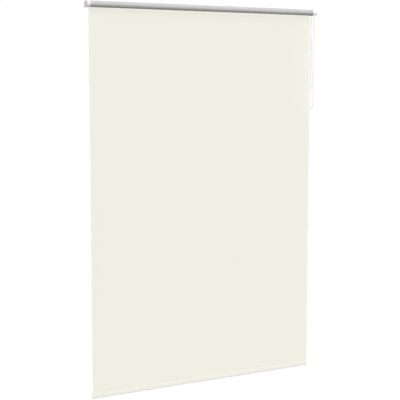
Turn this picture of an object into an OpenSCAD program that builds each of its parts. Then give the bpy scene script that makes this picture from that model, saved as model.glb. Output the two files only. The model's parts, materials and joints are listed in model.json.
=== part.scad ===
// Blackout roller blind with a bead chain clutch, drawn at full drop.
// Millimetres. X runs along the roller, +Y points to the wall and +Z is up.
// The origin is the centre of the four wall screws, on the wall. The roller's axis is level with it.

/* [Cloth] */
// Width of the cloth, on the roll and in the panel
fabric_w = 970; // [400:5:1800]
// Drop from the top of the roll to the bottom of the hem
drop = 1500; // [600:10:2400]
// Thickness of the coated cloth
fabric_t = 0.45; // [0.3:0.05:0.7]
// Air between two turns of cloth
wind_gap = 0.05; // [0.02:0.01:0.1]
// Thickness of the adhesive film between the tube and the first turn
film_t = 0.1; // [0.05:0.05:0.3]

/* [Hem and bar] */
// Height of the bottom bar
bar_h = 18; // [14:0.5:28]
// Thickness of the flat bar at its middle
bar_t = 3.2; // [2.8:0.2:6]
// Wall of the hollow bar
bar_wall = 0.9; // [0.6:0.1:0.9]
// Air between the bar and the pocket round it
bar_fit = 0.1; // [0.05:0.05:0.4]
// Height of the welded seam above the pocket
seam_h = 4; // [2:0.5:8]
// Thickness of the bar's end caps
bar_cap_t = 1.5; // [1:0.1:2]
// Length of the cap's tongue in the bar
bar_tongue = 12; // [6:1:25]
// Air round the tongue
tongue_fit = 0.1; // [0.05:0.05:0.2]

/* [Tube] */
// Outer diameter of the roller tube
tube_d = 22; // [20.5:0.5:30]
// Wall of the tube
tube_wall = 1; // [0.8:0.1:1.3]
// How far the tube runs past the cloth at the idle end
tube_over_idle = 4.2; // [0.6:0.1:8]
// How far the tube runs past the cloth at the chain end
tube_over_chain = 1.5; // [0.5:0.5:4]
// Width of the key ribs in the tube
key_w = 1.6; // [1:0.1:2.5]
// Height of the key ribs in the tube
key_h = 1.1; // [0.6:0.1:1.3]
// Air between the tube and what is pushed into it
tube_fit = 0.1; // [0.05:0.05:0.2]
// Width of the ribs on the plug and the adapter
rib_w = 2; // [1.2:0.2:3]
// Width of the two seats that grip the key ribs
seat_w = 5; // [4:0.5:7]

/* [Brackets] */
// Distance from the wall to the roller's axis
axis_wall = 24.5; // [23:0.5:40]
// Thickness of the side plates
plate_t = 3; // [2.5:0.5:5]
// Rounding of the side plates' outer edge
plate_edge = 1.2; // [0.4:0.2:2]
// How far the side plates reach past the roll
plate_lip = 0.25; // [0:0.05:3]
// Thickness of the wall flanges
flange_t = 3; // [2.5:0.5:5]
// Length of the wall flanges along the wall
flange_w = 26; // [20:1:40]
// Corner radius of the wall flanges
flange_corner = 3; // [1:0.5:6]
// Diameter of the screw holes
screw_d = 4.5; // [3.5:0.5:5.5]
// Diameter of the countersinks
screw_head_d = 8; // [7:0.5:9]
// Distance between a bracket's two screw holes
screw_pitch = 13; // [11:0.5:15]
// Legs of the stiffening web
web = 6; // [3:0.5:7]
// Thickness of the stiffening web
web_t = 2.4; // [1.5:0.1:4]
// Height of the bearing boss on the idle bracket
boss_h = 1.2; // [0.6:0.1:1.6]
// Wall of the bearing boss
boss_wall = 2.6; // [1.5:0.1:4]

/* [Idle end] */
// Gap between the idle bracket and the plug
plug_gap = 1.8; // [1.8:0.1:4]
// Thickness of the plug's collar
plug_collar = 3; // [2:0.5:8]
// Length of the plug in the tube
plug_len = 28; // [20:1:40]
// Core diameter of the plug under its ribs
plug_core_d = 13; // [11.5:0.5:15]
// Diameter of the pin
pin_d = 5; // [4:0.5:6]
// How far the pin's nose stays inside the bracket's outer face
pin_inset = 0.3; // [0:0.1:1]
// Chamfer of the pin's nose
pin_chamfer = 0.7; // [0.3:0.1:1]
// Length of the plug's bearing round the pin
pin_bearing = 7; // [5:0.5:10]
// Diameter of the pin's stop collar
pin_collar_d = 8.2; // [7.5:0.1:8.6]
// Thickness of the pin's stop collar
pin_collar_t = 2; // [1:0.5:3]
// Diameter of the pin's tail in the spring
pin_tail_d = 3.6; // [2.5:0.1:4]
// Length of the pin's tail
pin_tail = 5; // [3:0.5:7]
// Bore of the spring's chamber
chamber_d = 9; // [8.8:0.1:10]
// Wire of the pin's spring
pin_wire = 0.9; // [0.6:0.1:1]
// Turns of the pin's spring
pin_coils = 7; // [5:1:9]
// Thickness of the cap that closes the chamber
spring_cap_t = 3; // [2:0.5:4]

/* [Bead chain] */
// Diameter of a bead
bead_d = 4.5; // [3.5:0.1:4.8]
// Distance from bead to bead
bead_pitch = 6; // [5.6:0.1:6.6]
// Diameter of the cord through the beads
cord_d = 1.5; // [1:0.1:2]
// Pockets round the wheel, an even number
pockets = 10; // [10:2:12]
// Beads in each hanging strand
strand_beads = 64; // [20:1:160]
// Links in the turn at the foot of the loop, a tighter turn with fewer
foot_links = 4; // [3:1:5]

/* [Clutch] */
// Air between a bead and its pocket
pocket_fit = 0.15; // [0.05:0.05:0.3]
// How far the wheel's rim stands out past the beads' centres
wheel_rim = 0.6; // [0.3:0.1:0.8]
// Flare of a pocket's mouth, as widening over height
pocket_flare = 0.9; // [0.8:0.05:1.2]
// Cheek beside the pockets
wheel_cheek = 0.9; // [0.6:0.1:2]
// Gap between the tube's end and the wheel
wheel_gap = 0.2; // [0.1:0.1:0.6]
// Gap between the wheel and the post's flange
flange_gap = 0.5; // [0.3:0.1:1]
// Diameter of the fixed post
post_d = 9; // [8:0.2:9.4]
// Diameter of the post's flange
post_flange_d = 18; // [14:1:20]
// Thickness of the post's flange
post_flange_t = 3.2; // [2:0.2:5]
// Diameter of the keyed tenon in the bracket
tenon_d = 11; // [9:0.5:13]
// Distance across the tenon's flats
tenon_flats = 8; // [6:0.5:8.5]
// Length of the clutch in the tube
clutch_len = 31; // [26:1:45]
// Bore of the drive sleeve, round the wrap springs
sleeve_id = 12; // [11.8:0.1:12.6]
// Wall of the drive sleeve
sleeve_wall = 1; // [0.8:0.1:1.2]
// Width of the sleeve's slot for the spring ends and the key
slot_w = 6.4; // [6:0.1:7]
// Width of the adapter's drive key
drive_key_w = 3; // [2.4:0.1:3.2]
// Wire of the wrap springs
wrap_wire = 1.1; // [0.8:0.1:1.1]
// Full turns of each wrap spring
wrap_coils = 7; // [5:1:8]
// End wall of the adapter
adapter_end = 2.5; // [1.5:0.5:4]
// Wall of the adapter under its ribs
adapter_wall = 1.3; // [0.9:0.1:1.4]
// Thickness of the retaining clip
clip_t = 0.9; // [0.6:0.1:1.5]
// Outer diameter of the retaining clip
clip_d = 14; // [11:0.5:15]
// Gap between the adapter and the clip
clip_gap = 0.3; // [0.2:0.1:0.6]
// Depth of the clip's groove in the post
clip_groove = 0.8; // [0.5:0.1:1.2]

/* [Chain guard] */
// Thickness of the guard's skirt
guard_t = 1.1; // [0.8:0.1:2]
// Air between the beads on the wheel and the guard
guard_gap = 0.35; // [0.25:0.05:1]
// Thickness of the guard's end wall
guard_wall = 3; // [1.5:0.5:4]
// Rim of the end wall past the skirt
guard_rim = 0.3; // [0.2:0.1:1]
// How far the skirt runs below the axis, in degrees
guard_drop = 14; // [0:1:20]

/* [Running fits] */
// Air round a shaft that turns or slides, on the radius
run_fit = 0.05; // [0.02:0.01:0.1]
// Air round a keyed seat or a pressed cap, on the radius
seat_fit = 0.05; // [0.02:0.01:0.1]

/* [Hidden] */
$fn = 96;
// Stack along the axis, from the idle bracket's outer face
idle_stack = plate_t + plug_gap + plug_collar + tube_over_idle;
bead_r = bead_d / 2;
pocket_r = bead_r + pocket_fit;
wheel_w = 2 * pocket_r + 2 * wheel_cheek;
control_stack = tube_over_chain + wheel_gap + wheel_w + flange_gap + post_flange_t + guard_wall + plate_t;
overall_w = idle_stack + fabric_w + control_stack;
x_left = -overall_w / 2;
x_left_in = x_left + plate_t;
x_plug = x_left_in + plug_gap;
x_tube = x_plug + plug_collar;
x_cloth = x_tube + tube_over_idle;
x_cloth_end = x_cloth + fabric_w;
x_tube_end = x_cloth_end + tube_over_chain;
tube_len = x_tube_end - x_tube;
x_wheel = x_tube_end + wheel_gap;
x_chain = x_wheel + wheel_w / 2;
x_post_flange = x_wheel + wheel_w + flange_gap;
x_guard = x_post_flange + post_flange_t;
x_right_in = x_guard + guard_wall;
// Across the axis
axis_y = -axis_wall;
tube_r = tube_d / 2;
tube_ir = tube_r - tube_wall;
wind = fabric_t + wind_gap;
inner_turn_r = tube_r + film_t;
outer_turn_r = inner_turn_r + wind;
roll_r = outer_turn_r + fabric_t;
plate_r = roll_r + plate_lip;
// Hem: the bar's outline is four arcs that share these centres
bar_tip = 0.375 * bar_t;
tip_swell = 0.03;
tip_y = bar_h / 2 - bar_tip - tip_swell;
face_gap = bar_t / 2 - bar_tip;
face_x = (tip_y * tip_y - face_gap * face_gap) / (2 * face_gap);
face_r = face_x + bar_t / 2;
face_rise = tip_y / sqrt(face_x * face_x + tip_y * tip_y);
pocket_out = bar_fit + fabric_t;
z_hem = roll_r - drop;
z_bar = z_hem + bar_h / 2 + pocket_out;
z_panel_end = z_bar + bar_h / 2 + pocket_out + seam_h;
panel_y = axis_y + outer_turn_r;
seam_y = panel_y + fabric_t;
// The bar sits behind the seam, so that the cloth runs straight down its front
bar_set = bar_t / 2;
bar_y = seam_y + bar_set;
// Pin and plug, measured from the collar's outer face
plug_total = plug_collar + plug_len;
pin_r = pin_d / 2;
pin_out = plug_gap + plate_t - pin_inset;
spring_start = pin_bearing + pin_collar_t;
spring_len = plug_total - spring_cap_t - spring_start;
pin_coil_r = pin_tail_d / 2 + 0.3 + pin_wire / 2;
// Chain loop
step_a = 360 / pockets;
chain_r = bead_pitch / (2 * sin(step_a / 2));
foot_a = 180 / foot_links;
foot_r = bead_pitch / (2 * sin(foot_a / 2));
strand_len = strand_beads * bead_pitch;
strand_lean = asin((chain_r - foot_r) / strand_len);
loop_z = -strand_len * cos(strand_lean);
link_inset = bead_r / 2;
wheel_r = chain_r + wheel_rim;
mouth_r = pocket_r - 0.03;
mouth_h = wheel_rim + 0.5;
cord_slot_r = chain_r * cos(step_a / 2) - cord_d / 2 - 0.25;
guard_ir = chain_r + bead_r + guard_gap;
guard_r = guard_ir + guard_t;
// Clutch, measured from the tube's end
post_r = post_d / 2;
sleeve_ir = sleeve_id / 2;
sleeve_r = sleeve_ir + sleeve_wall;
adapter_ir = sleeve_r + tube_fit;
sleeve_len = clutch_len - adapter_end - 0.5 + wheel_gap;
hub_len = 1;
wrap_ir = post_r + 0.15;
wrap_space = (sleeve_len - hub_len) / 2;
wrap_rise = wrap_space - wrap_wire - 0.8;
tang_x = (slot_w / 2 + drive_key_w / 2) / 2;
tang_a = asin(tang_x / (wrap_ir + wrap_wire / 2));
post_end = clutch_len + clip_gap + clip_t + 2.5;

// Local Z along the roller, local X to the wall and local Y up, on the roller's axis
module on_axis(x) {
    translate([x, axis_y, 0])
        rotate([90, 0, 90])
            children();
}

// A flat outline drawn in the bar's cross-section, run along X
module along_hem(x, length) {
    translate([x, bar_y, z_bar])
        rotate([90, 0, 90])
            linear_extrude(length)
                children();
}

module bore(r, z0, z1) {
    translate([0, 0, z0])
        cylinder(r = r, h = z1 - z0);
}

module quarter(r) {
    intersection() {
        circle(r);
        square(r);
    }
}

// Half section of a plate whose far outer edge is rounded
module edge_profile(r, t, edge) {
    square([r - edge, t]);
    square([r, t - edge]);
    translate([r - edge, t - edge])
        quarter(edge);
}

// Part of a pipe wall round local Z
module arc_wall(r, t, length, a0, a1) {
    rotate([0, 0, a0])
        rotate_extrude(angle = a1 - a0)
            translate([r, 0])
                square([t, length]);
}

// Wire wound round local Z from a section given as offsets in radius and height
function coil_points(section, r, rise, a0, sweep, steps) = [
    for (i = [0:steps])
        for (p = section)
            let (a = a0 + sweep * i / steps)
                [(r + p[0]) * cos(a), (r + p[0]) * sin(a), rise * i / steps + p[1]]
];

module coil(section, r, rise, a0, sweep, steps) {
    n = len(section);
    sides = [
        for (i = [0:steps - 1])
            for (j = [0:n - 1])
                let (k = (j + 1) % n)
                    [i * n + j, i * n + k, (i + 1) * n + k]
    ];
    more_sides = [
        for (i = [0:steps - 1])
            for (j = [0:n - 1])
                let (k = (j + 1) % n)
                    [i * n + j, (i + 1) * n + k, (i + 1) * n + j]
    ];
    ends = [
        [for (j = [n - 1:-1:0]) j],
        [for (j = [0:n - 1]) steps * n + j]
    ];
    polyhedron(coil_points(section, r, rise, a0, sweep, steps), concat(sides, more_sides, ends));
}

// Brackets: local Z = 0 is the side plate's inner face, +Z is outward
module bracket_plate() {
    rotate([0, 0, 90])
        rotate_extrude(angle = 180)
            edge_profile(plate_r, plate_t, plate_edge);
    rotate([90, 0, 90])
        linear_extrude(axis_wall) {
            edge_profile(plate_r, plate_t, plate_edge);
            mirror([1, 0])
                edge_profile(plate_r, plate_t, plate_edge);
        }
}

module flange_outline() {
    translate([-plate_r, flange_corner - flange_w])
        square([2 * plate_r, flange_w - flange_corner + plate_t / 2]);
    translate([flange_corner - plate_r, -flange_w])
        square([2 * (plate_r - flange_corner), flange_w]);
    for (side = [-1, 1])
        translate([side * (plate_r - flange_corner), flange_corner - flange_w])
            circle(flange_corner);
}

module screw_hole() {
    sink = (screw_head_d - screw_d) / 2;
    rotate([0, 90, 0]) {
        translate([0, 0, -1])
            cylinder(d = screw_d, h = flange_t + 2);
        translate([0, 0, -1])
            cylinder(d = screw_head_d, h = 1);
        cylinder(d1 = screw_head_d, d2 = screw_d, h = sink);
    }
}

module bracket_body() {
    difference() {
        union() {
            bracket_plate();
            translate([axis_wall - flange_t, 0, 0])
                rotate([90, 0, 90])
                    linear_extrude(flange_t)
                        flange_outline();
            translate([axis_wall - flange_t, web_t / 2, 0])
                rotate([90, 0, 0])
                    linear_extrude(web_t)
                        polygon([[0.5, 0.5], [-web, 0.5], [-web, 0], [0, -web], [0.5, -web]]);
        }
        for (side = [-1, 1])
            translate([axis_wall - flange_t, side * screw_pitch / 2, -flange_w / 2])
                screw_hole();
    }
}

module tenon_outline(grow) {
    intersection() {
        circle(tenon_d / 2 + grow);
        square([2 * tenon_d, tenon_flats + 2 * grow], center = true);
    }
}

module idle_bracket() {
    color([0.94, 0.94, 0.93])
        on_axis(x_left_in)
            mirror([0, 0, 1])
                difference() {
                    union() {
                        bracket_body();
                        bore(pin_r + run_fit + boss_wall, -boss_h, plate_t / 2);
                    }
                    bore(pin_r + run_fit, -boss_h - 1, plate_t + 1);
                }
}

module control_bracket() {
    color([0.94, 0.94, 0.93])
        on_axis(x_right_in)
            difference() {
                bracket_body();
                translate([0, 0, -1])
                    linear_extrude(plate_t + 2)
                        tenon_outline(seat_fit);
            }
}

// Clutch
module clutch_core() {
    color([0.9, 0.9, 0.88])
        on_axis(x_tube_end) {
            z_flange = x_post_flange - x_tube_end;
            difference() {
                union() {
                    bore(post_r, 1 - post_end, z_flange + 0.5);
                    translate([0, 0, -post_end])
                        cylinder(r1 = post_r - 1, r2 = post_r, h = 1);
                    bore(post_flange_d / 2, z_flange, z_flange + post_flange_t);
                    translate([0, 0, z_flange + post_flange_t - 0.5])
                        linear_extrude(guard_wall + plate_t)
                            tenon_outline(0);
                }
                translate([0, 0, -clutch_len - clip_gap - clip_t - 0.05])
                    difference() {
                        cylinder(r = post_r + 1, h = clip_t + 0.1);
                        translate([0, 0, -1])
                            cylinder(r = post_r - clip_groove, h = clip_t + 3);
                    }
            }
        }
}

module clutch_retainer() {
    color([0.7, 0.71, 0.72])
        on_axis(x_tube_end - clutch_len - clip_gap - clip_t)
            difference() {
                cylinder(d = clip_d, h = clip_t);
                bore(post_r - clip_groove + seat_fit, -1, clip_t + 1);
                translate([-post_r + clip_groove + 0.4, -clip_d, -1])
                    cube([2 * (post_r - clip_groove - 0.4), clip_d, clip_t + 2]);
                for (side = [-1, 1])
                    translate([side * clip_d * 0.42, clip_d * 0.06, -1])
                        cylinder(d = clip_d * 0.13, h = clip_t + 2);
            }
}

module chain_guard() {
    color([0.94, 0.94, 0.93])
        on_axis(x_guard) {
            back = x_guard - x_wheel - 0.5;
            difference() {
                rotate_extrude()
                    edge_profile(guard_r + guard_rim, guard_wall, plate_edge);
                translate([0, 0, -1])
                    linear_extrude(guard_wall + 2)
                        tenon_outline(seat_fit);
            }
            translate([0, 0, -back])
                arc_wall(guard_ir, guard_t, back + guard_wall / 2, -guard_drop, 180 + guard_drop);
        }
}

module chain_wheel() {
    color([0.92, 0.92, 0.9])
        on_axis(x_wheel)
            difference() {
                union() {
                    cylinder(r = wheel_r, h = wheel_w);
                    bore(sleeve_r, -sleeve_len, 0.5);
                }
                bore(post_r + run_fit, -sleeve_len - 1, wheel_w + 1);
                bore(sleeve_ir, -sleeve_len - 1, -hub_len);
                translate([-slot_w / 2, 0, -sleeve_len - 1])
                    cube([slot_w, sleeve_r + 1, sleeve_len + 1 - hub_len]);
                for (i = [0:pockets - 1])
                    rotate([0, 0, i * step_a])
                        translate([chain_r, 0, wheel_w / 2])
                            rotate([0, 90, 0]) {
                                sphere(pocket_r);
                                cylinder(r1 = mouth_r, r2 = mouth_r + mouth_h * pocket_flare, h = mouth_h);
                            }
                translate([0, 0, wheel_w / 2 - cord_d / 2 - 0.3])
                    difference() {
                        cylinder(r = wheel_r + 1, h = cord_d + 0.6);
                        bore(cord_slot_r, -1, cord_d + 2);
                    }
            }
}

module wrap_spring() {
    half = wrap_wire / 2;
    coil(
        [[-half, -half], [half, -half], [half, half], [-half, half]],
        wrap_ir + half, wrap_rise, 90 - tang_a, 360 * wrap_coils + 2 * tang_a, 20 * wrap_coils + 2
    );
    tang_r = sleeve_r - 0.1;
    tang_side = tang_x + half;
    reach = sqrt(tang_r * tang_r - tang_side * tang_side);
    foot = (wrap_ir + half) * cos(tang_a);
    translate([tang_x - half, foot, -half])
        cube([wrap_wire, reach - foot, wrap_wire]);
    translate([-tang_x - half, foot, wrap_rise - half])
        cube([wrap_wire, reach - foot, wrap_wire]);
}

module clutch_springs() {
    color([0.66, 0.67, 0.69])
        on_axis(x_wheel - hub_len)
            for (i = [1, 2])
                translate([0, 0, -i * wrap_space + wrap_wire / 2 + 0.4])
                    wrap_spring();
}

// Outline of what is pushed into the tube: a core, six ribs and two seats for the key ribs
module insert_outline(core_r) {
    difference() {
        union() {
            circle(core_r);
            intersection() {
                circle(tube_ir - tube_fit);
                union() {
                    for (a = [0, 45, 135, 180, 225, 315])
                        rotate(a)
                            translate([0, -rib_w / 2])
                                square([tube_r, rib_w]);
                    square([seat_w, 2 * tube_r], center = true);
                }
            }
        }
        for (a = [90, 270])
            rotate(a)
                translate([tube_ir - key_h - tube_fit, -key_w / 2 - tube_fit])
                    square([key_h + 2, key_w + 2 * tube_fit]);
    }
}

module drive_adapter() {
    color([0.86, 0.86, 0.84])
        on_axis(x_tube_end - clutch_len) {
            difference() {
                linear_extrude(clutch_len)
                    insert_outline(adapter_ir + adapter_wall);
                bore(post_r + run_fit, -1, adapter_end + 1);
                bore(adapter_ir, adapter_end, clutch_len + 1);
            }
            translate([-drive_key_w / 2, sleeve_ir + 0.1, adapter_end - 0.5])
                cube([drive_key_w, sleeve_wall + tube_fit + 0.4, clutch_len - adapter_end - 1.5]);
        }
}

// Tube and cloth on it
module roller_tube() {
    color([0.8, 0.81, 0.82])
        on_axis(x_tube)
            linear_extrude(tube_len) {
                difference() {
                    circle(tube_r);
                    circle(tube_ir);
                }
                for (a = [90, 270])
                    rotate(a)
                        translate([tube_ir - key_h, -key_w / 2])
                            square([key_h + tube_wall / 3, key_w]);
            }
}

// One and a half turns: the lower half turn is centred half a winding to the front
module fabric_roll() {
    color([0.78, 0.78, 0.78])
        on_axis(x_cloth) {
            arc_wall(outer_turn_r, fabric_t, fabric_w, 0, 180);
            translate([-wind / 2, 0, 0])
                arc_wall(inner_turn_r + wind / 2, fabric_t, fabric_w, 180, 360);
            arc_wall(inner_turn_r, fabric_t, fabric_w, 0, 180);
        }
}

module fabric_panel() {
    color([0.94, 0.93, 0.87])
        translate([x_cloth, panel_y, z_panel_end])
            cube([fabric_w, fabric_t, -z_panel_end]);
}

// Hem and bar
module bar_outline(grow) {
    top = (face_r + grow) * face_rise;
    intersection() {
        translate([-face_x, 0])
            circle(face_r + grow, $fn = 720);
        translate([face_x, 0])
            circle(face_r + grow, $fn = 720);
        square([4 * bar_t, 2 * top], center = true);
    }
    for (side = [-1, 1])
        translate([0, side * tip_y])
            circle(bar_tip + tip_swell + grow);
}

module fabric_hem() {
    color([0.94, 0.93, 0.87])
        along_hem(x_cloth, fabric_w)
            difference() {
                union() {
                    bar_outline(pocket_out);
                    translate([-bar_set - fabric_t, 0])
                        square([2 * fabric_t, z_panel_end - z_bar]);
                }
                bar_outline(bar_fit);
            }
}

module bottom_bar() {
    color([0.85, 0.85, 0.84])
        along_hem(x_cloth, fabric_w)
            difference() {
                bar_outline(0);
                bar_outline(-bar_wall);
            }
}

module bar_cap() {
    linear_extrude(bar_cap_t)
        bar_outline(pocket_out);
    translate([0, 0, -bar_tongue])
        linear_extrude(bar_tongue + bar_cap_t / 2)
            bar_outline(-bar_wall - tongue_fit);
}

module bar_cap_right() {
    color([0.94, 0.93, 0.9])
        translate([x_cloth_end, bar_y, z_bar])
            rotate([90, 0, 90])
                bar_cap();
}

module bar_cap_left() {
    color([0.94, 0.93, 0.9])
        translate([x_cloth, bar_y, z_bar])
            mirror([1, 0, 0])
                rotate([90, 0, 90])
                    bar_cap();
}

// Idle end, measured from the plug's outer face
module idle_end_plug() {
    color([0.94, 0.94, 0.93])
        on_axis(x_plug)
            difference() {
                union() {
                    translate([0, 0, plug_collar])
                        mirror([0, 0, 1])
                            rotate_extrude()
                                edge_profile(roll_r + plate_lip / 2, plug_collar, plate_edge);
                    translate([0, 0, plug_collar / 2])
                        linear_extrude(plug_total - plug_collar / 2)
                            insert_outline(plug_core_d / 2);
                }
                bore(pin_r + run_fit, -1, pin_bearing + 1);
                bore(chamber_d / 2, pin_bearing, plug_total + 1);
            }
}

module idle_pin() {
    color([0.72, 0.73, 0.75])
        on_axis(x_plug) {
            bore(pin_r, pin_chamfer - pin_out, spring_start - 0.5);
            translate([0, 0, -pin_out])
                cylinder(r1 = pin_r - pin_chamfer, r2 = pin_r, h = pin_chamfer);
            bore(pin_collar_d / 2, pin_bearing, spring_start);
            bore(pin_tail_d / 2, spring_start - 0.5, spring_start + pin_tail);
        }
}

module idle_spring() {
    half = pin_wire / 2;
    color([0.66, 0.67, 0.69])
        on_axis(x_plug + spring_start + half + 0.02)
            coil(
                [for (a = [0:45:315]) [half * cos(a), half * sin(a)]],
                pin_coil_r, spring_len - pin_wire - 0.04, 0, 360 * pin_coils, 20 * pin_coils
            );
}

module idle_spring_cap() {
    color([0.9, 0.9, 0.88])
        on_axis(x_plug + plug_total - spring_cap_t)
            difference() {
                cylinder(r = chamber_d / 2 - seat_fit, h = spring_cap_t);
                bore(pin_tail_d / 2 + 0.3, -1, spring_cap_t + 1);
            }
}

// Endless bead chain: six beads on the wheel, two strands that draw together and a turn at the foot
module strand() {
    translate([0, 0, link_inset - strand_len])
        cylinder(d = cord_d, h = strand_len - 2 * link_inset);
    for (k = [1:strand_beads])
        translate([0, 0, -k * bead_pitch])
            sphere(bead_r);
}

// A link from the bead at angle a to the next one, on a turn of radius r
module link(a, r, step) {
    translate([0, r * cos(a), r * sin(a)])
        rotate([a + step / 2, 0, 0])
            bore(cord_d / 2, link_inset, bead_pitch - link_inset);
}

module bead_chain() {
    half_turn = pockets / 2;
    color([0.95, 0.95, 0.94])
        translate([x_chain, axis_y, 0]) {
            for (side = [-1, 1])
                translate([0, side * chain_r, 0])
                    rotate([-side * strand_lean, 0, 0])
                        strand();
            for (i = [0:half_turn])
                translate([0, chain_r * cos(i * step_a), chain_r * sin(i * step_a)])
                    sphere(bead_r);
            for (i = [0:half_turn - 1])
                link(i * step_a, chain_r, step_a);
            translate([0, 0, loop_z]) {
                for (i = [1:foot_links - 1])
                    translate([0, foot_r * cos(i * foot_a), -foot_r * sin(i * foot_a)])
                        sphere(bead_r);
                for (i = [0:foot_links - 1])
                    link(180 + i * foot_a, foot_r, foot_a);
            }
        }
}

idle_bracket();
control_bracket();
clutch_core();
clutch_retainer();
chain_guard();
roller_tube();
fabric_roll();
idle_end_plug();
idle_spring();
idle_spring_cap();
chain_wheel();
clutch_springs();
drive_adapter();
idle_pin();
fabric_panel();
fabric_hem();
bottom_bar();
bar_cap_left();
bar_cap_right();
bead_chain();
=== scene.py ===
"""Dresses the blackout roller blind.

The cloth, the bead chain and the pin's spring get detailed meshes in place of their solids, and every moulded, drawn
and extruded part gets a procedural finish. Lengths are in metres unless a name ends in mm.
"""

import json
import logging
import math
from dataclasses import dataclass, field
from enum import Enum
from typing import Iterable, Sequence, Union

import bmesh
import bpy
from mathutils import Euler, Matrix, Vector


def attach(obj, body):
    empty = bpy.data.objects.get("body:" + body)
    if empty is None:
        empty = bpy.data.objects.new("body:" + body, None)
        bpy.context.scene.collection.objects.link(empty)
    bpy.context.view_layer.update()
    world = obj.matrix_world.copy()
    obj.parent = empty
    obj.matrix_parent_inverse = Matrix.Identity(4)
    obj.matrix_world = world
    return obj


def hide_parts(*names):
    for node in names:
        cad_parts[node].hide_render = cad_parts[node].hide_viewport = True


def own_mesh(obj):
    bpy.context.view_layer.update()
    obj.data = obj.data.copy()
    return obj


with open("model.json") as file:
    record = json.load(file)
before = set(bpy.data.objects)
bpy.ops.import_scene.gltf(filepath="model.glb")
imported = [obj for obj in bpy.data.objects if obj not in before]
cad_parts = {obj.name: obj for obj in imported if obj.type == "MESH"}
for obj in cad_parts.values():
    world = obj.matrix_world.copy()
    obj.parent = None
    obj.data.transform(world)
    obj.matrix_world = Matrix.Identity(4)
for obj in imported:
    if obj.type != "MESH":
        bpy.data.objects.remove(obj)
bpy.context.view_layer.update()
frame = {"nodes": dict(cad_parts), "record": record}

Colour = tuple[float, float, float]
Pair = tuple[float, float]
Point = tuple[float, float, float]
Number = Union[int, float]

AXIS_Y = -0.0245
MM_PER_METRE = 1000.0
THREAD_MM = 0.62
WHITE: Colour = (1.0, 1.0, 1.0)

log = logging.getLogger("roller_blind")


class Along(Enum):
    """Way that the fine lines of a drawn or extruded surface run, as the stretch of their noise."""

    ROLLER = (0.02, 1.0, 1.0)
    ROUND = (1.0, 0.12, 0.12)


class Skin(Enum):
    """Which side of the cloth a face shows."""

    FRONT = 0
    BACK = 1
    EDGE = 2


@dataclass(frozen=True)
class Grain:
    """A noise over a surface: waves in a millimetre, stretch along each axis, octaves, and the finer ones' weight."""

    scale: float
    stretch: Point = (1.0, 1.0, 1.0)
    detail: float = 2.0
    roughness: float = 0.5


@dataclass(frozen=True)
class Relief:
    """A bump of a surface: the depth that a height of 1 stands for, and the share of the effect."""

    depth: float
    strength: float


class Signal:
    """A value socket that takes part in Python sums, each of which adds a Math node."""

    def __init__(self, sheet: "NodeSheet", socket: bpy.types.NodeSocket) -> None:
        """Keeps the sheet that new nodes go on, and the socket itself."""
        self.sheet = sheet
        self.socket = socket

    def math(self, operation: str, *others: Union["Signal", Number], clamp: bool = False) -> "Signal":
        """Result of one Math node with this value first, kept between 0 and 1 if clamped."""
        return self.sheet.math(operation, self, *others, clamp=clamp)

    def clamped(self) -> "Signal":
        """This value kept between 0 and 1."""
        return self.math("ADD", 0.0, clamp=True)

    def __add__(self, other: Union["Signal", Number]) -> "Signal":
        """This value plus another."""
        return self.math("ADD", other)

    def __radd__(self, other: Number) -> "Signal":
        """A number plus this value."""
        return self.sheet.math("ADD", other, self)

    def __sub__(self, other: Union["Signal", Number]) -> "Signal":
        """This value less another."""
        return self.math("SUBTRACT", other)

    def __rsub__(self, other: Number) -> "Signal":
        """A number less this value."""
        return self.sheet.math("SUBTRACT", other, self)

    def __mul__(self, other: Union["Signal", Number]) -> "Signal":
        """This value times another."""
        return self.math("MULTIPLY", other)

    def __rmul__(self, other: Number) -> "Signal":
        """A number times this value."""
        return self.sheet.math("MULTIPLY", other, self)

    def __truediv__(self, other: Union["Signal", Number]) -> "Signal":
        """This value divided by another."""
        return self.math("DIVIDE", other)

    def __rtruediv__(self, other: Number) -> "Signal":
        """A number divided by this value."""
        return self.sheet.math("DIVIDE", other, self)

    def __abs__(self) -> "Signal":
        """This value without its sign."""
        return self.math("ABSOLUTE")


Feed = Union[Signal, bpy.types.NodeSocket, Number, Sequence[float]]


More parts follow.
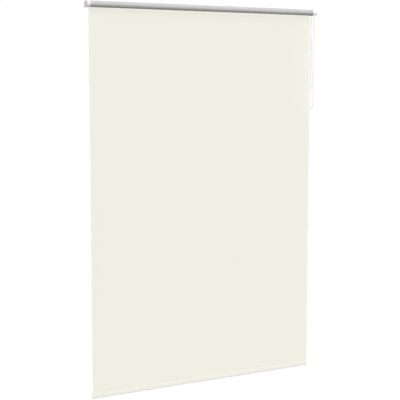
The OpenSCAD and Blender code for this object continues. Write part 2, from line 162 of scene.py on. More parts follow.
class NodeSheet:
    """The node tree of one material or of the world, with short ways to add to it."""

    def __init__(self, tree: bpy.types.NodeTree) -> None:
        """Empties the tree and keeps it."""
        self.tree = tree
        self.tree.nodes.clear()

    @classmethod
    def of_material(cls, name: str) -> tuple["NodeSheet", bpy.types.Material]:
        """Starts a new material.

        Args:
            name: Name of the finish.

        Returns:
            The sheet and its material.
        """
        material = bpy.data.materials.new(name)
        material.use_nodes = True
        return cls(material.node_tree), material

    def node(self, kind: str, settings: dict[str, object] | None = None,
             feeds: dict[Union[str, int], Feed] | None = None) -> bpy.types.Node:
        """Adds any node.

        Args:
            kind: Blender's name of the node's type.
            settings: Values of the node itself, which are set first.
            feeds: Values or links of its inputs, by name or place.

        Returns:
            The new node.
        """
        made = self.tree.nodes.new(kind)
        for key, value in (settings or {}).items():
            setattr(made, key, value)
        for key, value in (feeds or {}).items():
            self.feed(made.inputs[key], value)
        return made

    def feed(self, target: bpy.types.NodeSocket, value: Feed) -> None:
        """Links or sets one input.

        Args:
            target: The input.
            value: A signal or socket to link, or a constant to set.
        """
        if isinstance(value, Signal):
            self.tree.links.new(value.socket, target)
        elif isinstance(value, bpy.types.NodeSocket):
            self.tree.links.new(value, target)
        elif isinstance(value, (int, float)):
            target.default_value = value
        else:
            target.default_value = (*value, 1.0) if len(target.default_value) > len(value) else tuple(value)

    def math(self, operation: str, *values: Union[Signal, Number], clamp: bool = False) -> Signal:
        """Result of a Math node on values in order, kept between 0 and 1 if clamped."""
        settings = {"operation": operation, "use_clamp": clamp}
        return Signal(self, self.node("ShaderNodeMath", settings, dict(enumerate(values))).outputs[0])

    def blend(self, factor: Feed, low: Feed, high: Feed) -> bpy.types.NodeSocket:
        """Mix of two colours, which is low at a factor of 0 and high at 1."""
        made = self.node("ShaderNodeMix", {"data_type": "RGBA"}, {0: factor, 6: low, 7: high})
        return made.outputs[2]

    def place(self, stretch: Point = (1.0, 1.0, 1.0)) -> bpy.types.NodeSocket:
        """Gives the surface point in millimetres of the piece's own frame.

        Args:
            stretch: Factor along each axis.

        Returns:
            The stretched point.
        """
        spot = self.node("ShaderNodeTexCoord").outputs["Object"]
        sized = [MM_PER_METRE * s for s in stretch]
        return self.node("ShaderNodeVectorMath", {"operation": "MULTIPLY"}, {0: spot, 1: sized}).outputs[0]

    def noise(self, grain: Grain) -> Signal:
        """Adds a noise over the surface.

        Args:
            grain: Its size and roughness.

        Returns:
            Values round 0.5.
        """
        made = self.node("ShaderNodeTexNoise", {}, {
            "Vector": self.place(grain.stretch),
            "Scale": grain.scale,
            "Detail": grain.detail,
            "Roughness": grain.roughness,
        })
        return Signal(self, made.outputs["Fac"])

    def bump(self, height: Signal, relief: Relief) -> bpy.types.NodeSocket:
        """Normal that shows a height from 0 to 1 as a relief."""
        feeds = {"Height": height, "Distance": relief.depth, "Strength": relief.strength}
        return self.node("ShaderNodeBump", {}, feeds).outputs["Normal"]

    def principled(self, feeds: dict[str, Feed]) -> None:
        """Ends the sheet with a Principled shader, fed by input name."""
        shader = self.node("ShaderNodeBsdfPrincipled", {}, feeds)
        self.node("ShaderNodeOutputMaterial", {}, {"Surface": shader.outputs[0]})


@dataclass(frozen=True)
class WovenCloth:
    """Plain-woven polyester face of the blackout cloth."""

    name: str = "cloth_front"
    colour: Colour = (0.872, 0.853, 0.763)
    shade: Colour = (0.842, 0.822, 0.728)
    thread_mm: float = THREAD_MM
    stray: Grain = Grain(0.35, detail=1.0)
    stray_threads: float = 0.7
    weft_slubs: Grain = Grain(1.0, (0.035, 0.3, 1.1), 3.0)
    warp_slubs: Grain = Grain(1.0, (1.1, 0.3, 0.03), 3.0)
    mottle: Grain = Grain(0.008, detail=3.0)
    tint: float = 0.35
    slub_tint: float = 0.8
    mottle_tint: float = 0.5
    # Painted highlight on the thread crowns, with painted shade in the hollows between them.
    painted_crown_light: float = 0.18
    roughness: float = 0.86
    crown_gloss: float = 0.08
    specular: float = 0.25
    sheen: float = 0.06
    sheen_roughness: float = 0.5
    crown_rise: float = 0.7
    slub_rise: float = 0.3
    relief: Relief = Relief(0.00012, 0.35)

    def make(self) -> bpy.types.Material:
        """Builds the weave with painted light on its thread crowns, its slubs and a faint sheen.

        Returns:
            The material.
        """
        sheet, material = NodeSheet.of_material(self.name)
        split = sheet.node("ShaderNodeSeparateXYZ", {}, {0: sheet.place()})
        across, upright = Signal(sheet, split.outputs[0]), Signal(sheet, split.outputs[2])
        stray = sheet.noise(self.stray) * self.stray_threads
        warp = ((across / self.thread_mm + stray) * math.pi).math("SINE")
        weft = ((upright / self.thread_mm + stray) * math.pi).math("SINE")
        over = warp * weft
        crown = abs(warp) * (over * 0.5 + 0.5) + abs(weft) * (0.5 - over * 0.5)
        slubs = sheet.noise(self.weft_slubs) + sheet.noise(self.warp_slubs)
        mottle = sheet.noise(self.mottle)
        # Slubs and mottle are the cloth's own tone. The crown term paints the thread tops lighter and the hollows
        # darker: a painted highlight and painted shade of the weave.
        tint = (slubs - 1.0) * self.slub_tint + (mottle - 0.5) * self.mottle_tint + crown * self.painted_crown_light
        sheet.principled({
            "Base Color": sheet.blend((tint + self.tint).clamped(), self.shade, self.colour),
            "Roughness": self.roughness - crown * self.crown_gloss,
            "Specular IOR Level": self.specular,
            "Sheen Weight": self.sheen,
            "Sheen Roughness": self.sheen_roughness,
            "Normal": sheet.bump(crown * self.crown_rise + slubs * self.slub_rise, self.relief),
        })
        return material


@dataclass(frozen=True)
class CoatedBack:
    """Matt grey coating on the cloth's back, through which the weave shows faintly."""

    name: str = "cloth_back_coating"
    colour: Colour = (0.53, 0.53, 0.53)
    shade: Colour = (0.49, 0.49, 0.492)
    streak: Grain = Grain(1.0, (0.5, 0.5, 0.012), 3.0)
    cloud: Grain = Grain(0.02, detail=4.0, roughness=0.6)
    weave: Grain = Grain(1.0 / THREAD_MM, detail=1.0)
    streak_tint: float = 1.2
    cloud_tint: float = 1.1
    roughness: float = 0.6
    cloud_roughness: float = 0.16
    specular: float = 0.35
    weave_rise: float = 0.6
    streak_rise: float = 0.4
    relief: Relief = Relief(0.00008, 0.3)

    def make(self) -> bpy.types.Material:
        """Builds the coating with its faint streaks.

        Returns:
            The material.
        """
        sheet, material = NodeSheet.of_material(self.name)
        streak, cloud, weave = (sheet.noise(grain) for grain in (self.streak, self.cloud, self.weave))
        tint = (streak - 0.5) * self.streak_tint + (cloud - 0.5) * self.cloud_tint + 0.5
        sheet.principled({
            "Base Color": sheet.blend(tint.clamped(), self.shade, self.colour),
            "Roughness": self.roughness + cloud * self.cloud_roughness,
            "Specular IOR Level": self.specular,
            "Normal": sheet.bump(weave * self.weave_rise + streak * self.streak_rise, self.relief),
        })
        return material


@dataclass(frozen=True)
class CutEdge:
    """Cut edge of the cloth, where the coating's core shows between the threads."""

    name: str = "cloth_cut_edge"
    colour: Colour = (0.78, 0.77, 0.72)
    shade: Colour = (0.66, 0.66, 0.64)
    ends: Grain = Grain(1.6)
    roughness: float = 0.8
    end_roughness: float = 0.12
    specular: float = 0.2
    relief: Relief = Relief(0.00015, 0.5)

    def make(self) -> bpy.types.Material:
        """Builds the edge with its thread ends.

        Returns:
            The material.
        """
        sheet, material = NodeSheet.of_material(self.name)
        ends = sheet.noise(self.ends)
        sheet.principled({
            "Base Color": sheet.blend(ends, self.shade, self.colour),
            "Roughness": self.roughness + ends * self.end_roughness,
            "Specular IOR Level": self.specular,
            "Normal": sheet.bump(ends, self.relief),
        })
        return material


@dataclass(frozen=True)
class MouldedPlastic:
    """Injection-moulded plastic with a fine spark-eroded grain."""

    name: str
    colour: Colour
    shade: Colour
    roughness: float = 0.42
    spark_share: float = 0.3
    coat: float = 0.0
    coat_roughness: float = 0.12
    specular: float = 0.45
    flow: Grain = Grain(0.06, (1.0, 0.5, 1.0), 3.0)
    flow_tint: float = 0.8
    spark: Grain = Grain(3.2)
    spark_tint: float = 0.2
    spark_depth: float = 0.00006
    handled: Grain = Grain(0.12, detail=4.0, roughness=0.65)
    handled_roughness: float = 0.16

    def make(self) -> bpy.types.Material:
        """Builds the grain, faint flow marks and handling gloss.

        Returns:
            The material.
        """
        sheet, material = NodeSheet.of_material(self.name)
        flow, spark, handled = (sheet.noise(grain) for grain in (self.flow, self.spark, self.handled))
        tint = flow * self.flow_tint + spark * self.spark_tint
        sheet.principled({
            "Base Color": sheet.blend(tint, self.shade, self.colour),
            "Roughness": self.roughness + (handled - 0.5) * self.handled_roughness,
            "Specular IOR Level": self.specular,
            "Coat Weight": self.coat,
            "Coat Roughness": self.coat_roughness,
            "Normal": sheet.bump(spark, Relief(self.spark_depth, self.spark_share)),
        })
        return material


@dataclass(frozen=True)
class DrawnMetal:
    """Drawn or extruded metal with fine lines along its length."""

    name: str
    colour: Colour
    shade: Colour
    along: Along
    roughness: float = 0.34
    line_scale: float = 3.5
    line_detail: float = 3.0
    line_weight: float = 0.6
    line_tint: float = 0.6
    line_roughness: float = 0.14
    oxide: Grain = Grain(0.08, detail=4.0, roughness=0.6)
    oxide_tint: float = 0.4
    oxide_roughness: float = 0.12
    relief: Relief = Relief(0.00004, 0.35)

    def make(self) -> bpy.types.Material:
        """Builds the die lines and a cloudy oxide.

        Returns:
            The material.
        """
        sheet, material = NodeSheet.of_material(self.name)
        lines = sheet.noise(Grain(self.line_scale, self.along.value, self.line_detail, self.line_weight))
        oxide = sheet.noise(self.oxide)
        uneven = (lines - 0.5) * self.line_roughness + (oxide - 0.5) * self.oxide_roughness
        sheet.principled({
            "Base Color": sheet.blend(lines * self.line_tint + oxide * self.oxide_tint, self.shade, self.colour),
            "Metallic": 1.0,
            "Roughness": uneven + self.roughness,
            "Normal": sheet.bump(lines, self.relief),
        })
        return material


class Finish(Enum):
    """Finishes of the parts that keep their own shapes, of the beads and of the pin's spring."""

    WHITE = MouldedPlastic("white_moulding", (0.855, 0.855, 0.85), (0.835, 0.835, 0.83))
    INNER = MouldedPlastic("inner_moulding", (0.84, 0.84, 0.82), (0.80, 0.80, 0.78), 0.5, 0.25)
    CAP = MouldedPlastic("cap_moulding", (0.862, 0.846, 0.765), (0.84, 0.822, 0.735), 0.48)
    BEAD = MouldedPlastic("bead_moulding", (0.80, 0.80, 0.79), (0.77, 0.77, 0.762), 0.24, 0.08, 0.2)
    STEEL = DrawnMetal("drawn_steel", (0.58, 0.585, 0.6), (0.48, 0.485, 0.5), Along.ROUND, 0.28)
    TUBE = DrawnMetal("extruded_tube", (0.76, 0.765, 0.775), (0.68, 0.685, 0.69), Along.ROLLER, 0.36)
    BAR = DrawnMetal("extruded_bar", (0.78, 0.78, 0.78), (0.7, 0.7, 0.7), Along.ROLLER, 0.4)


@dataclass
class MeshDraft:
    """Points and faces of a piece while it is being made."""

    points: list[Point] = field(default_factory=list)
    faces: list[tuple[int, ...]] = field(default_factory=list)
    skins: list[int] = field(default_factory=list)

    def row(self, points: Iterable[Point]) -> list[int]:
        """Adds a row of points.

        Args:
            points: The points in order.

        Returns:
            Their numbers.
        """
        first = len(self.points)
        self.points.extend(points)
        return list(range(first, len(self.points)))

    def face(self, corners: Sequence[int], skin: int = 0) -> None:
        """Adds a face from the numbers of its points in order, with the place of its finish."""
        self.faces.append(tuple(corners))
        self.skins.append(skin)

    def bridge(self, first: Sequence[int], second: Sequence[int], skin: int = 0, closed: bool = False) -> None:
        """Joins two rows of points with quads.

        Args:
            first: One row.
            second: The row beside it, as long.
            skin: Place of the finish.
            closed: Whether the last points join the first ones.
        """
        count = len(first)
        for i in range(count if closed else count - 1):
            j = (i + 1) % count
            self.face((first[i], first[j], second[j], second[i]), skin)

    def to_object(self, name: str, materials: Sequence[bpy.types.Material],
                  sharp: float = 40.0) -> bpy.types.Object:
        """Makes the piece.

        Args:
            name: Name of the piece.
            materials: Its finishes in the order of their places.
            sharp: Edges that turn by more degrees than this stay crisp.

        Returns:
            The object, in the scene.
        """
        mesh = bpy.data.meshes.new(name)
        mesh.from_pydata(self.points, [], self.faces)
        mesh.polygons.foreach_set("material_index", self.skins)
        shaped = bmesh.new()
        shaped.from_mesh(mesh)
        bmesh.ops.recalc_face_normals(shaped, faces=shaped.faces)
        shaped.to_mesh(mesh)
        shaped.free()
        for material in materials:
            mesh.materials.append(material)
        mesh.shade_smooth()
        mesh.set_sharp_from_angle(angle=math.radians(sharp))
        made = bpy.data.objects.new(name, mesh)
        bpy.context.scene.collection.objects.link(made)
        log.info("%s: %d points, %d faces", name, len(self.points), len(self.faces))
        return made


@dataclass(frozen=True)
class ClothSize:
    """Sizes that the roll, the panel and the hem share."""

    left: float = -0.488
    right: float = 0.482
    thick: float = 0.00045
    seam_z: float = -1.46485

    def across(self, share: float) -> float:
        """Place along the roller at a share of the width from the left."""
        return self.left + (self.right - self.left) * share


@dataclass
class ClothFaces:
    """The three finishes that every piece of the cloth shows."""

    front: WovenCloth = field(default_factory=WovenCloth)
    back: CoatedBack = field(default_factory=CoatedBack)
    edge: CutEdge = field(default_factory=CutEdge)

    def make(self) -> list[bpy.types.Material]:
        """Builds the finishes in the order of Skin."""
        return [self.front.make(), self.back.make(), self.edge.make()]


@dataclass(frozen=True)
class Flute:
    """A soft wave of the hanging cloth: its height, its turns over the width and the drop, and its start."""

    height: float
    across: float
    down: float
    start: float

    def at(self, u: float, v: float) -> float:
        """Height at a share of the width and of the drop."""
        return self.height * math.sin(2 * math.pi * (self.across * u + self.down * v) + self.start)


@dataclass
class ClothPanel:
    """The hanging cloth between the roll and the hem."""

    size: ClothSize = field(default_factory=ClothSize)
    head: float = -0.0038
    front: float = -0.0129
    ease: float = 0.0009
    hold: float = 0.7
    flutes: tuple[Flute, ...] = (Flute(0.55, 1.5, 0.0, 0.6), Flute(0.35, 2.5, 0.4, 2.0))
    curl: float = 0.9
    curl_power: int = 14
    columns: int = 72
    rows: int = 108

    def ripple(self, u: float, v: float) -> float:
        """How far the cloth stands off its plane.

        Args:
            u: Share of the width from the left.
            v: Share of the drop from the roll.

        Returns:
            Distance to the wall side.
        """
        free = math.sin(math.pi * v) ** self.hold if 0.0 < v < 1.0 else 0.0
        curl = self.curl * abs(2 * u - 1) ** self.curl_power
        return self.ease * free * (sum(flute.at(u, v) for flute in self.flutes) - curl)

    def sheet(self, draft: MeshDraft, depth: float) -> list[list[int]]:
        """One side of the panel.

        Args:
            draft: Where its points go.
            depth: How far behind the front it lies.

        Returns:
            Its rows of points from the head down.
        """
        rows = []
        for r in range(self.rows + 1):
            v = r / self.rows
            z = self.head + (self.size.seam_z - self.head) * v
            shares = (c / self.columns for c in range(self.columns + 1))
            rows.append(draft.row(
                (self.size.across(u), self.front + depth + self.ripple(u, v), z) for u in shares))
        return rows

    def build(self, cloth: Sequence[bpy.types.Material]) -> bpy.types.Object:
        """Makes the panel as a thin closed sheet.

        Args:
            cloth: The cloth's finishes.

        Returns:
            The piece.
        """
        draft = MeshDraft()
        face, back = self.sheet(draft, 0.0), self.sheet(draft, self.size.thick)
        for side, skin in ((face, Skin.FRONT), (back, Skin.BACK)):
            for upper, lower in zip(side, side[1:]):
                draft.bridge(upper, lower, skin.value)
        for end in (0, -1):
            draft.bridge([row[end] for row in face], [row[end] for row in back], Skin.EDGE.value)
            draft.bridge(face[end], back[end], Skin.EDGE.value)
        return draft.to_object("cloth_panel", cloth)


@dataclass
class HemPocket:
    """The welded pocket at the foot of the cloth, with the bar inside it."""

    size: ClothSize = field(default_factory=ClothSize)
    centre_y: float = -0.01085
    centre_z: float = -1.4784
    set_back: float = 0.0016
    face_r: float = 0.077416
    face_off: float = 0.075266
    tip_z: float = 0.0078
    tip_r: float = 0.00175
    weld: Pair = (0.0128, 0.0104)
    weld_deep: float = 0.00012
    weld_slope: float = 3.0
    puckers: tuple[Point, ...] = ((1.0, 61.0, 0.0), (0.6, 143.0, 1.0))
    pucker_share: float = 0.028
    columns: int = 120
    face_steps: int = 14
    tip_steps: int = 7

    def strip(self, face: float, inward: float) -> list[Pair]:
        """A face of the seam strip from its top to its foot, pressed in along the weld.

        Args:
            face: Depth of the face.
            inward: 1 where the strip lies to the wall side of the face, and -1 where it lies to the room side.

        Returns:
            Pairs of depth and height about the pocket's centre.
        """
        top, (upper, lower) = self.size.seam_z - self.centre_z, self.weld
        pressed, slope = face + inward * self.weld_deep, self.weld_slope * self.weld_deep
        return [(face, top), (face, upper), (pressed, upper - slope), (pressed, lower + slope), (face, lower)]

    def face(self, inset: float, start: float, stop: float, side: int) -> list[Pair]:
        """One of the pocket's two flat arcs.

        Args:
            inset: How far inside the outer face.
            start: First angle about the arc's centre.
            stop: Last angle.
            side: -1 for the room's side and 1 for the wall's.

        Returns:
            Pairs of depth and height about the pocket's centre.
        """
        radius = self.face_r - inset
        angles = [start + (stop - start) * i / self.face_steps for i in range(self.face_steps + 1)]
        return [(side * (radius * math.cos(a) - self.face_off), radius * math.sin(a)) for a in angles]

    def tip(self, inset: float, height: float, start: float, stop: float) -> list[Pair]:
        """The rounding between two faces.

        Args:
            inset: How far inside the outer face.
            height: Height of its centre.
            start: First angle.
            stop: Last angle.

        Returns:
            Pairs of depth and height, without the faces' own ends.
        """
        radius = self.tip_r - inset
        angles = [start + (stop - start) * i / self.tip_steps for i in range(1, self.tip_steps)]
        return [(radius * math.cos(a), height + radius * math.sin(a)) for a in angles]

    def outline(self, inset: float) -> tuple[list[Pair], list[Pair]]:
        """Outline of the pocket, from where the cloth leaves its front round the foot to the seam behind.

        Args:
            inset: How far inside the outer face.

        Returns:
            The free part, then the rest under the seam.
        """
        turn = math.atan2(self.tip_z, self.face_off)
        leave = math.acos((self.set_back + self.size.thick + self.face_off) / self.face_r)
        seam = math.acos((self.size.thick - self.set_back) / self.tip_r)
        radius = self.tip_r - inset
        free = self.face(inset, leave, -turn, -1)
        free += self.tip(inset, -self.tip_z, math.pi + turn, 2 * math.pi - turn)
        free += self.face(inset, -turn, turn, 1)
        free += self.tip(inset, self.tip_z, turn, seam)
        free.append((radius * math.cos(seam), self.tip_z + radius * math.sin(seam)))
        under = self.tip(inset, self.tip_z, seam, math.pi - turn) + self.face(inset, turn, leave, -1)[:-1]
        return free, under

    def pucker(self, x: float, height: float) -> float:
        """Factor by which the pocket swells unevenly at a place along it, fading out at the seam."""
        wave = sum(rise * math.sin(rate * x + start) for rise, rate, start in self.puckers)
        return 1.0 + self.pucker_share * wave * min(1.0, max(0.0, 1.0 - height / self.tip_z))

    def build(self, cloth: Sequence[bpy.types.Material]) -> bpy.types.Object:
        """Makes the pocket with its seam strip.

        Args:
            cloth: The cloth's finishes.

        Returns:
            The piece.
        """
        draft = MeshDraft()
        free, _ = self.outline(0.0)
        hidden, under = self.outline(self.size.thick)
        behind = self.strip(self.size.thick - self.set_back, -1.0)[::-1]
        ahead = self.strip(-self.set_back - self.size.thick, 1.0)
        ahead.append((ahead[-1][0], (ahead[-1][1] + free[0][1]) / 2))
        outer, inner = free + behind + ahead, hidden + under
        rings: list[tuple[list[int], list[int]]] = []
        for c in range(self.columns + 1):
            x = self.size.across(c / self.columns)
            rings.append((
                draft.row((x, self.centre_y + y * self.pucker(x, z), self.centre_z + z) for y, z in outer),
                draft.row((x, self.centre_y + y, self.centre_z + z) for y, z in inner)))
        for (outside, inside), (outside_next, inside_next) in zip(rings, rings[1:]):
            draft.bridge(outside, outside_next, Skin.FRONT.value, closed=True)
            draft.bridge(inside, inside_next, Skin.BACK.value, closed=True)
        last = len(free) - 1
        for outside, inside in (rings[0], rings[-1]):
            draft.bridge(outside[:last + 1], inside[:last + 1], Skin.EDGE.value)
            draft.face([*outside[last:], outside[0], inside[0], *reversed(inside[last:])], Skin.EDGE.value)
        return draft.to_object("cloth_hem", cloth)


@dataclass
class ClothRoll:
    """The turns of cloth that stay on the tube at full drop."""

    size: ClothSize = field(default_factory=ClothSize)
    outer_r: float = 0.011825
    winding: float = 0.0005
    tail: float = 0.0038
    tail_shares: Point = (1.0, 0.65, 0.3)
    half_turns: int = 3
    steps: int = 40
    columns: int = 24

    def line(self) -> list[tuple[float, float, float, float]]:
        """The cloth's middle line from where the panel leaves it to its end on the tube.

        Returns:
            Depth, height and outward direction of each point.
        """
        path = [(AXIS_Y + self.outer_r, -self.tail * share, 1.0, 0.0) for share in self.tail_shares]
        for half in range(self.half_turns):
            radius = self.outer_r - self.winding / 2 * half
            middle = AXIS_Y - (self.winding / 2 if half % 2 else 0.0)
            for i in range(0 if half == 0 else 1, self.steps + 1):
                a = math.pi * (half + i / self.steps)
                out, up = math.cos(a), math.sin(a)
                path.append((middle + radius * out, radius * up, out, up))
        return path

    def build(self, cloth: Sequence[bpy.types.Material]) -> bpy.types.Object:
        """Makes the wound cloth as one spiral sheet.

        Args:
            cloth: The cloth's finishes.

        Returns:
            The piece.
        """
        draft = MeshDraft()
        path = self.line()
        places = [self.size.across(c / self.columns) for c in range(self.columns + 1)]
        outside, inside = (
            [draft.row((x, y + off * out, z + off * up) for y, z, out, up in path) for x in places]
            for off in (self.size.thick / 2, -self.size.thick / 2))
        for sheet, skin in ((outside, Skin.BACK), (inside, Skin.FRONT)):
            for first, second in zip(sheet, sheet[1:]):
                draft.bridge(first, second, skin.value)
        for end in (0, -1):
            draft.bridge(outside[end], inside[end], Skin.EDGE.value)
            draft.bridge([row[end] for row in outside], [row[end] for row in inside], Skin.EDGE.value)
        return draft.to_object("cloth_roll", cloth)


@dataclass
class Cloth:
    """The whole cloth: roll, panel and hem, cut as one sheet."""

    panel: ClothPanel = field(default_factory=ClothPanel)
    hem: HemPocket = field(default_factory=HemPocket)
    roll: ClothRoll = field(default_factory=ClothRoll)
    faces: ClothFaces = field(default_factory=ClothFaces)
    cut: Pair = (0.970, 1.622)
    raised_share: float = 0.01536

    def build(self) -> list[bpy.types.Object]:
        """Makes the three pieces and says what each rides on.

        Returns:
            Panel, hem and roll.
        """
        finishes = self.faces.make()
        panel, hem, roll = (part.build(finishes) for part in (self.panel, self.hem, self.roll))
        for piece, body, node, slot in (
                (panel, "brackets", "fabric_panel", "cloth"),
                (hem, "bottom_bar", "fabric_hem", "cloth"),
                (roll, "roller", "fabric_roll", "cloth_back")):
            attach(piece, body)
            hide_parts(node)
        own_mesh(panel)
        return [panel, hem, roll]


@dataclass
class PinSpring:
    """Spring behind the idle pin, made at one length; the real spring shortens as the pin is pressed in."""

    start: float = -0.48573
    length: float = 0.01806
    stop: float = -0.4672
    coil_r: float = 0.00255
    wire_r: float = 0.00045
    closed_pitch: float = 0.000945
    turns: int = 7
    steps: int = 28
    sides: int = 10
    pressed_share: float = 0.778

    def rise(self, turn: float) -> float:
        """How far along the spring a turn lies, with a closed coil at each end.

        Args:
            turn: Turns from the start.

        Returns:
            Distance from the start.
        """
        open_turns = self.turns - 2
        pitch = (self.length - 2 * self.closed_pitch) / open_turns
        closed = min(turn, 1.0) + max(0.0, turn - self.turns + 1)
        return self.closed_pitch * closed + pitch * min(max(0.0, turn - 1.0), open_turns)

    def ring(self, turn: float) -> list[Point]:
        """Points round the wire.

        Args:
            turn: Turns from the start.

        Returns:
            The points.
        """
        a, x = 2 * math.pi * turn, self.start + self.rise(turn)
        points = []
        for k in range(self.sides):
            b = 2 * math.pi * k / self.sides
            out = self.coil_r + self.wire_r * math.cos(b)
            points.append((x + self.wire_r * math.sin(b), AXIS_Y + out * math.cos(a), out * math.sin(a)))
        return points

    def build(self, steel: bpy.types.Material) -> bpy.types.Object:
        """Makes the spring in its chamber.

        Args:
            steel: Finish of the wire.

        Returns:
            The piece.
        """
        draft = MeshDraft()
        rings = [draft.row(self.ring(i / self.steps)) for i in range(self.turns * self.steps + 1)]
        for first, second in zip(rings, rings[1:]):
            draft.bridge(first, second, closed=True)
        for end in (rings[0], rings[-1]):
            draft.face(end)
        made = draft.to_object("pin_spring", [steel])
        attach(made, "roller")
        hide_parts("idle_spring")
        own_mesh(made)
        return made


@dataclass
class BeadChain:
    """Endless loop of moulded beads on a cord, hung over the chain wheel."""

    x: float = 0.487
    pitch: float = 0.006
    bead_r: float = 0.00225
    cord_r: float = 0.00075
    collar_r: float = 0.0010125
    lip_r: float = 0.000972
    lip: float = 0.00018
    pockets: int = 10
    strand: int = 64
    foot_links: int = 4
    segments: int = 16
    bead_steps: int = 10
    sharp: float = 50.0

    def turn_r(self, beads: int) -> float:
        """Radius of a full turn of this many beads."""
        return self.pitch / (2 * math.sin(math.pi / beads))

    @staticmethod
    def on_turn(radius: float, degrees: float) -> Pair:
        """Depth and height of a place on a turn, from the wall side up."""
        return radius * math.cos(math.radians(degrees)), radius * math.sin(math.radians(degrees))

    def centres(self) -> list[Point]:
        """Bead centres in order: over the wheel to the front, down, round the foot and up the back.

        Returns:
            The points, from the one just past the wheel's top.
        """
        wheel_r, foot_r = self.turn_r(self.pockets), self.turn_r(2 * self.foot_links)
        wheel_step, foot_step = 360.0 / self.pockets, 180.0 / self.foot_links
        seated = self.pockets // 2 + 1
        lean = math.asin((wheel_r - foot_r) / (self.strand * self.pitch))
        drop, draw = self.pitch * math.cos(lean), self.pitch * math.sin(lean)
        spots = [self.on_turn(wheel_r, wheel_step * k) for k in range(seated // 2, seated)]
        spots += [(draw * k - wheel_r, -drop * k) for k in range(1, self.strand + 1)]
        for k in range(1, self.foot_links):
            y, z = self.on_turn(foot_r, 180.0 + foot_step * k)
            spots.append((y, z - drop * self.strand))
        spots += [(wheel_r - draw * k, -drop * k) for k in range(self.strand, 0, -1)]
        spots += [self.on_turn(wheel_r, wheel_step * k) for k in range(seated // 2)]
        return [(self.x, AXIS_Y + y, z) for y, z in spots]

    def profile(self) -> list[Pair]:
        """Half outline of a bead along its cord, with the small collars where the cord goes in.

        Returns:
            Pairs of place along the cord and radius.
        """
        reach = math.sqrt(self.bead_r ** 2 - self.collar_r ** 2)
        start = math.acos(reach / self.bead_r)
        angles = [start + (math.pi - 2 * start) * i / self.bead_steps for i in range(self.bead_steps + 1)]
        bead = [(-self.bead_r * math.cos(a), self.bead_r * math.sin(a)) for a in angles]
        end = reach + self.lip
        return [(-end, self.cord_r), (-end, self.lip_r), *bead, (end, self.lip_r), (end, self.cord_r)]

    def ring(self, centre: Vector, along: Vector, radius: float) -> list[Point]:
        """A circle square to the chain.

        Args:
            centre: Its middle.
            along: Direction of the chain there.
            radius: Its radius.

        Returns:
            Its points.
        """
        side = Vector((1.0, 0.0, 0.0))
        other = along.cross(side)
        turns = (2 * math.pi * i / self.segments for i in range(self.segments))
        return [tuple(centre + (side * math.cos(t) + other * math.sin(t)) * radius) for t in turns]

    def build(self, plastic: bpy.types.Material) -> bpy.types.Object:
        """Args:
            plastic: Finish of the beads.

        Returns:
            The piece.
        """
        draft = MeshDraft()
        spots = [Vector(p) for p in self.centres()]
        count = len(spots)
        rings: list[list[int]] = []
        for i, spot in enumerate(spots):
            along = (spots[(i + 1) % count] - spots[i - 1]).normalized()
            rings += [draft.row(self.ring(spot + along * place, along, r)) for place, r in self.profile()]
        for first, second in zip(rings, rings[1:] + rings[:1]):
            draft.bridge(first, second, closed=True)
        made = draft.to_object("bead_chain_loop", [plastic], self.sharp)
        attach(made, "brackets")
        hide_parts("bead_chain")
        return made


@dataclass
class Hardware:
    """The moulded, drawn and extruded parts, which keep their own shapes."""

    parts: dict[Finish, tuple[str, ...]] = field(default_factory=lambda: {
        Finish.WHITE: ("idle_bracket", "control_bracket", "chain_guard", "idle_end_plug"),
        Finish.INNER: ("clutch_core", "idle_spring_cap", "chain_wheel", "drive_adapter"),
        Finish.CAP: ("bar_cap_left", "bar_cap_right"),
        Finish.STEEL: ("clutch_retainer", "clutch_springs", "idle_pin"),
        Finish.TUBE: ("roller_tube",),
        Finish.BAR: ("bottom_bar",),
    })

    def dress(self) -> dict[Finish, bpy.types.Material]:
        """Gives every kept part its finish.

        Returns:
            The materials of all the finishes.
        """
        made = {finish: finish.value.make() for finish in Finish}
        for finish, names in self.parts.items():
            for name in names:
                for slot in frame["nodes"][name].material_slots:
                    slot.material = made[finish]
                log.info("%s: %s", name, made[finish].name)
        return made

    def head_parts(self) -> list[bpy.types.Object]:
        """The kept parts at the head of the blind, which are all but the bar and its caps."""
        foot = frame["record"]["behaviour"]["bodies"]["bottom_bar"]
        return [frame["nodes"][name] for names in self.parts.values() for name in names if name not in foot]


@dataclass(frozen=True)
class Lamp:
    """A soft light from far off: where it shines from and how high, in degrees, its power and its spread."""

    name: str
    turn: float
    rise: float
    power: float
    spread: float


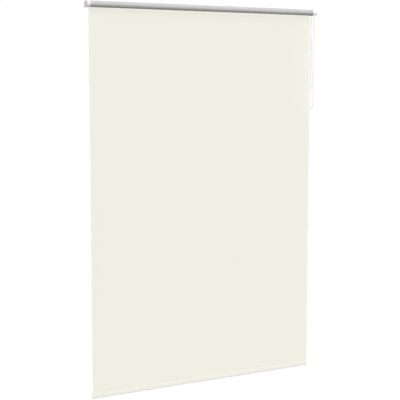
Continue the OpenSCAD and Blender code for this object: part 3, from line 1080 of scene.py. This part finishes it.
@dataclass
class Studio:
    """Camera at the photograph's view, soft lights, an even surround and a pale floor."""

    eye: Point = (-1.74443, -3.34421, -0.29230)
    turn: float = 27.2492
    tilt: float = 5.8599
    focal_mm: float = 85.779
    sensor_mm: float = 36.0
    shift: float = -0.045
    sight: float = 100.0
    key: Lamp = Lamp("soft_key", 27.0, 33.0, 3.29, 50.0)
    top: Lamp = Lamp("soft_top", 10.0, 50.0, 0.5, 40.0)
    back: Lamp = Lamp("soft_back", 217.0, 8.0, 2.3, 60.0)
    surround: float = 0.19
    floor_z: float = -2.3
    floor_reach: float = 14.0
    floor_unseen: Colour = (0.08, 0.08, 0.08)
    floor_seen: Colour = (0.9, 0.9, 0.9)
    floor_white: float = 0.98

    @staticmethod
    def facing(turn: float, drop: float) -> Euler:
        """Rotation of what looks to the wall.

        Args:
            turn: Degrees to the right.
            drop: Degrees down.

        Returns:
            The rotation.
        """
        a, e = math.radians(turn), math.radians(drop)
        ahead = Vector((math.sin(a) * math.cos(e), math.cos(a) * math.cos(e), -math.sin(e)))
        return ahead.to_track_quat("-Z", "Y").to_euler()

    def camera(self) -> bpy.types.Object:
        """Makes the scene's camera.

        Returns:
            The camera.
        """
        data = bpy.data.cameras.new("photo_view")
        data.sensor_width = self.sensor_mm
        data.lens = self.focal_mm
        data.shift_y = self.shift
        data.clip_end = self.sight
        made = bpy.data.objects.new("photo_view", data)
        made.location = self.eye
        made.rotation_euler = self.facing(self.turn, self.tilt)
        bpy.context.scene.collection.objects.link(made)
        bpy.context.scene.camera = made
        return made

    def light(self, lamp: Lamp) -> bpy.types.Object:
        """Makes one of the soft lights.

        Args:
            lamp: Its place, power and spread.

        Returns:
            The light.
        """
        data = bpy.data.lights.new(lamp.name, "SUN")
        data.energy = lamp.power
        data.angle = math.radians(lamp.spread)
        made = bpy.data.objects.new(lamp.name, data)
        made.rotation_euler = self.facing(lamp.turn, lamp.rise)
        bpy.context.scene.collection.objects.link(made)
        log.info("studio: %s", lamp.name)
        return made

    @staticmethod
    def seen(sheet: NodeSheet) -> Signal:
        """1 where the camera, a reflection or a clear part looks, and 0 for light on the object.

        Args:
            sheet: Where the nodes go.

        Returns:
            The share.
        """
        rays = sheet.node("ShaderNodeLightPath").outputs
        camera, gloss, clear = (
            Signal(sheet, rays[name]) for name in ("Is Camera Ray", "Is Glossy Ray", "Is Transmission Ray"))
        return (camera + gloss).math("ADD", clear, clamp=True)

    def world(self) -> None:
        """Makes the even surround, white to the eye."""
        world = bpy.data.worlds.new("surround")
        bpy.context.scene.world = world
        world.use_nodes = True
        sheet = NodeSheet(world.node_tree)
        soft, white = (
            sheet.node("ShaderNodeBackground", {}, {"Color": WHITE, "Strength": strength}).outputs[0]
            for strength in (self.surround, 1.0))
        both = sheet.node("ShaderNodeMixShader", {}, {0: self.seen(sheet), 1: soft, 2: white})
        sheet.node("ShaderNodeOutputWorld", {}, {"Surface": both.outputs[0]})

    def floor(self) -> bpy.types.Object:
        """Makes the pale floor well under the blind.

        Returns:
            The floor.
        """
        sheet, material = NodeSheet.of_material("pale_floor")
        unseen, matt = (
            sheet.node("ShaderNodeBsdfDiffuse", {}, {"Color": tone}).outputs[0]
            for tone in (self.floor_unseen, self.floor_seen))
        white = sheet.node("ShaderNodeEmission", {}, {"Color": WHITE, "Strength": 1.0}).outputs[0]
        shown = sheet.node("ShaderNodeMixShader", {}, {0: self.floor_white, 1: matt, 2: white}).outputs[0]
        both = sheet.node("ShaderNodeMixShader", {}, {0: self.seen(sheet), 1: unseen, 2: shown})
        sheet.node("ShaderNodeOutputMaterial", {}, {"Surface": both.outputs[0]})
        draft = MeshDraft()
        corners = ((-1, -1), (1, -1), (1, 1), (-1, 1))
        draft.face(draft.row((self.floor_reach * x, self.floor_reach * y, self.floor_z) for x, y in corners))
        made = draft.to_object("floor", [material])
        return made

    def build(self) -> bpy.types.Object:
        """Sets camera, surround, floor and lights.

        Returns:
            The key light.
        """
        bpy.context.scene.view_settings.view_transform = "Standard"
        for step in (self.camera, self.world, self.floor):
            step()
            log.info("studio: %s", step.__name__)
        for lamp in (self.top, self.back):
            self.light(lamp)
        return self.light(self.key)

    @staticmethod
    def lift_shadow(lamp: bpy.types.Object, casters: Iterable[bpy.types.Object]) -> None:
        """Leaves the shadow of the blind's head to the other lights, so that it stays soft on the cloth.

        Args:
            lamp: The light.
            casters: Pieces that throw none of its shadow.
        """
        group = bpy.data.collections.new("no_key_shadow")
        for piece in casters:
            group.objects.link(piece)
        for entry in group.collection_objects:
            entry.light_linking.link_state = "EXCLUDE"
        lamp.light_linking.blocker_collection = group


def main() -> None:
    """Builds the studio, the finishes, the chain, the spring and the cloth in order."""
    logging.basicConfig(level=logging.INFO, format="%(message)s")
    studio, hardware = Studio(), Hardware()
    key = studio.build()
    finishes = hardware.dress()
    chain = BeadChain().build(finishes[Finish.BEAD])
    log.info("%s hangs over the chain wheel", chain.name)
    spring = PinSpring().build(finishes[Finish.STEEL])
    log.info("%s sits in the idle end's plug", spring.name)
    panel, hem, roll = Cloth().build()
    log.info("%s, %s and %s are one cloth", panel.name, hem.name, roll.name)
    studio.lift_shadow(key, [roll, spring, *hardware.head_parts()])


if __name__ == "__main__":
    main()
